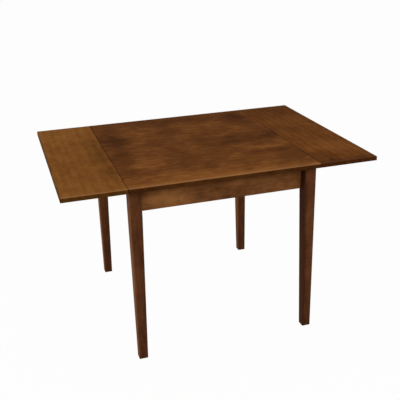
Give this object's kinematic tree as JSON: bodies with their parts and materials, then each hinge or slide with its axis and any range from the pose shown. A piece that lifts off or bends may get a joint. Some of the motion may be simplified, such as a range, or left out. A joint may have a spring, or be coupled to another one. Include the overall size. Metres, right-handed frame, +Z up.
{
  "type": "drop-leaf dining table",
  "caption": "Rectangular wooden dining table with tapered square legs, recessed aprons and a hinged drop leaf at each end, held up by folding parallel-link stays.",
  "frame": {"origin": "middle of the footprint, on the floor", "axes": "+X along the table's length to the right, +Y from the front long side to the back, +Z up"},
  "size_m": [1.2, 0.85, 0.72],
  "materials": {
    "top_wood": "walnut stain, satin lacquer",
    "leg_wood": "walnut stain, satin lacquer",
    "apron_wood": "walnut stain, satin lacquer",
    "brace_wood": "bare sawn wood",
    "bracket_steel": "dull nickel plate",
    "zinc_steel": "zinc plate",
    "glide_plastic": "brown nylon"
  },
  "bodies": {
    "frame": {"back_apron": "apron_wood", "back_left_brace": "brace_wood", "back_left_leg": "leg_wood", "back_right_brace": "brace_wood", "back_right_leg": "leg_wood", "bolt_nuts": "zinc_steel", "bolt_washers": "zinc_steel", "brace_screws": "zinc_steel", "centre_top": "top_wood", "foot_glides": "glide_plastic", "front_apron": "apron_wood", "front_left_brace": "brace_wood", "front_left_leg": "leg_wood", "front_right_brace": "brace_wood", "front_right_leg": "leg_wood", "hanger_bolts": "zinc_steel", "left_apron": "apron_wood", "left_hinge_frame_plates": "bracket_steel", "left_hinge_frame_screws": "zinc_steel", "left_hinge_pins": "bracket_steel", "left_stay_frame_brackets": "bracket_steel", "left_stay_frame_rivets": "bracket_steel", "left_stay_frame_screws": "zinc_steel", "right_apron": "apron_wood", "right_hinge_frame_plates": "bracket_steel", "right_hinge_frame_screws": "zinc_steel", "right_hinge_pins": "bracket_steel", "right_stay_frame_brackets": "bracket_steel", "right_stay_frame_rivets": "bracket_steel", "right_stay_frame_screws": "zinc_steel", "top_bracket_screws": "zinc_steel", "top_brackets": "bracket_steel"},
    "left_leaf": {"left_leaf": "top_wood", "left_hinge_leaf_plates": "bracket_steel", "left_hinge_leaf_screws": "zinc_steel", "left_stay_leaf_brackets": "bracket_steel", "left_stay_leaf_rivets": "bracket_steel", "left_stay_leaf_screws": "zinc_steel"},
    "left_stay_arms": {"left_stay_arms": "bracket_steel", "left_stay_knee_rivets": "bracket_steel"},
    "left_stay_links": {"left_stay_links": "bracket_steel"},
    "right_leaf": {"right_leaf": "top_wood", "right_hinge_leaf_plates": "bracket_steel", "right_hinge_leaf_screws": "zinc_steel", "right_stay_leaf_brackets": "bracket_steel", "right_stay_leaf_rivets": "bracket_steel", "right_stay_leaf_screws": "zinc_steel"},
    "right_stay_arms": {"right_stay_arms": "bracket_steel", "right_stay_knee_rivets": "bracket_steel"},
    "right_stay_links": {"right_stay_links": "bracket_steel"}
  },
  "joints": [
    {"name": "left_leaf_hinge", "type": "hinge", "parent": "frame", "child": "left_leaf", "pos_m": [-0.3665, 0, 0.701], "axis": [0, -1, 0], "range_deg": [0, 90]},
    {"name": "left_stay_frame_pivot", "type": "hinge", "parent": "frame", "child": "left_stay_arms", "pos_m": [-0.3465, 0, 0.675], "axis": [0, -1, 0], "range_deg": [0, 90]},
    {"name": "left_stay_leaf_pivot", "type": "hinge", "parent": "left_leaf", "child": "left_stay_links", "pos_m": [-0.4765, 0, 0.689], "axis": [0, -1, 0], "range_deg": [-90, 0]},
    {"name": "right_leaf_hinge", "type": "hinge", "parent": "frame", "child": "right_leaf", "pos_m": [0.3665, 0, 0.701], "axis": [0, 1, 0], "range_deg": [0, 90]},
    {"name": "right_stay_frame_pivot", "type": "hinge", "parent": "frame", "child": "right_stay_arms", "pos_m": [0.3465, 0, 0.675], "axis": [0, 1, 0], "range_deg": [0, 90]},
    {"name": "right_stay_leaf_pivot", "type": "hinge", "parent": "right_leaf", "child": "right_stay_links", "pos_m": [0.4765, 0, 0.689], "axis": [0, 1, 0], "range_deg": [-90, 0]}
  ],
  "couplings": [
    {"joint": "left_stay_frame_pivot", "follows": "left_leaf_hinge", "ratio": 1},
    {"joint": "left_stay_leaf_pivot", "follows": "left_leaf_hinge", "ratio": -1},
    {"joint": "right_stay_frame_pivot", "follows": "right_leaf_hinge", "ratio": 1},
    {"joint": "right_stay_leaf_pivot", "follows": "right_leaf_hinge", "ratio": -1}
  ]
}
